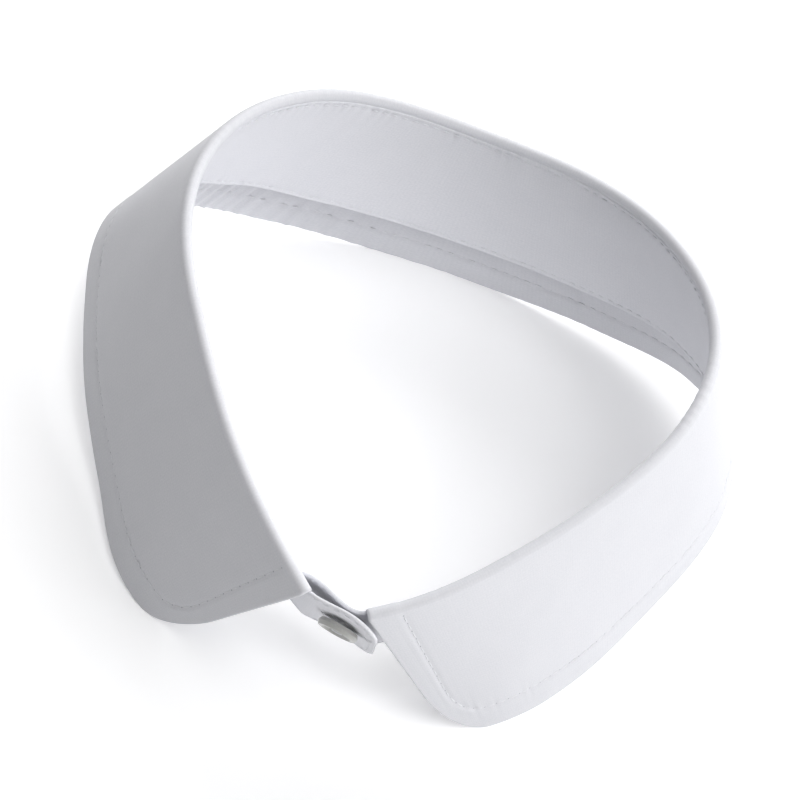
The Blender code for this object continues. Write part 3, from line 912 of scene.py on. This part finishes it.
# Floor
# A wide light table of white opal acrylic that the collar stands on. Its faint glow softens the shadows.
FLOOR_HALF = 3.0
floor_shape = bmesh.new()
bmesh.ops.create_grid(floor_shape, x_segments=4, y_segments=4, size=FLOOR_HALF)
floor = finished("floor", floor_shape, smooth_faces=False)
FLOOR_GLOW = 0.2
floor_values = {
    "Roughness": 0.9,
    "Specular IOR Level": 0.2,
    "Emission Color": (1, 1, 1, 1),
    "Emission Strength": FLOOR_GLOW,
}
floor_material, floor_tree, floor_shader = new_material("opal_acrylic", floor_values)
floor_place = add_node(floor_tree, "ShaderNodeTexCoord").outputs["Object"]
hazy = {"Vector": floor_place, "Scale": 60.0, "Detail": 4.0}
haze = add_node(floor_tree, "ShaderNodeTexNoise", hazy).outputs[0]
acrylic = add_node(floor_tree, "ShaderNodeMix", {0: haze}, data_type="RGBA")
acrylic.inputs[6].default_value = colour("#F8F8F9")
acrylic.inputs[7].default_value = colour("#FBFBFC")
floor_tree.links.new(acrylic.outputs[2], floor_shader.inputs["Base Color"])
floor.data.materials.append(floor_material)

# Light
# Soft studio light from five large softboxes round the table: the strongest are at the wearer's left and
# behind, so the side at the wearer's right is in soft shade.
LIGHT_COLUMNS = ("name", "azimuth_deg", "elevation_deg", "distance", "width", "watts", "tint")
LIGHTS = (
    ("left_softbox", 90, 30, 1.4, 1.2, 12.0, "#FFFFFF"),
    ("front_softbox", 45, 60, 1.4, 1.2, 7.5, "#FFFFFF"),
    ("back_softbox", 180, 30, 1.4, 1.2, 15.0, "#FFFFFF"),
    ("right_back_softbox", 225, 30, 1.4, 1.2, 3.5, "#FFFFFF"),
    ("top_softbox", 0, 88, 1.4, 1.2, 4.0, "#FFFFFF"),
)
LIGHT_TARGET = Vector((0, 0, 0.02))
for values in LIGHTS:
    light = dict(zip(LIGHT_COLUMNS, values))
    lamp = bpy.data.lights.new(light["name"], "AREA")
    lamp.shape = "DISK"
    lamp.size = light["width"]
    lamp.energy = light["watts"]
    lamp.color = colour(light["tint"])[:3]
    azimuth = math.radians(light["azimuth_deg"])
    elevation = math.radians(light["elevation_deg"])
    level = Vector((math.sin(azimuth), -math.cos(azimuth), 0))
    way = level * math.cos(elevation) + Vector((0, 0, math.sin(elevation)))
    holder = bpy.data.objects.new(light["name"], lamp)
    holder.matrix_world = Matrix.Translation(LIGHT_TARGET + way * light["distance"]) @ (
        way.to_track_quat("Z", "Y").to_matrix().to_4x4())
    bpy.context.scene.collection.objects.link(holder)
world = bpy.data.worlds.new("surround")
bpy.context.scene.world = world
world.use_nodes = True
surround = world.node_tree.nodes["Background"]
surround.inputs["Color"].default_value = colour("#F4F5F8")
surround.inputs["Strength"].default_value = 0.0
bpy.context.scene.view_settings.view_transform = "Standard"

# Camera
# The photograph's viewing angle: a short telephoto from the front and above, rolled to the right.
CAMERA_TARGET = Vector((-0.16 * MM, -4.47 * MM, 29.7 * MM))
CAMERA_AZIMUTH = math.radians(-1.18)
CAMERA_ELEVATION = math.radians(50.86)
CAMERA_ROLL = math.radians(22.38)
CAMERA_DISTANCE = 507.2 * MM
CAMERA_LENS_MM = 106.41
level = Vector((math.cos(CAMERA_AZIMUTH), math.sin(CAMERA_AZIMUTH), 0))
backward = Vector((
    math.sin(CAMERA_AZIMUTH) * math.cos(CAMERA_ELEVATION),
    -math.cos(CAMERA_AZIMUTH) * math.cos(CAMERA_ELEVATION),
    math.sin(CAMERA_ELEVATION),
))
upright = backward.cross(level)
camera_right = math.cos(CAMERA_ROLL) * level + math.sin(CAMERA_ROLL) * upright
camera_up = math.cos(CAMERA_ROLL) * upright - math.sin(CAMERA_ROLL) * level
camera_data = bpy.data.cameras.new("camera")
camera_data.sensor_width = 36
camera_data.lens = CAMERA_LENS_MM
camera = bpy.data.objects.new("camera", camera_data)
turned = Matrix((camera_right, camera_up, backward)).transposed().to_4x4()
camera.matrix_world = Matrix.Translation(CAMERA_TARGET + backward * CAMERA_DISTANCE) @ turned
bpy.context.scene.collection.objects.link(camera)
bpy.context.scene.camera = camera
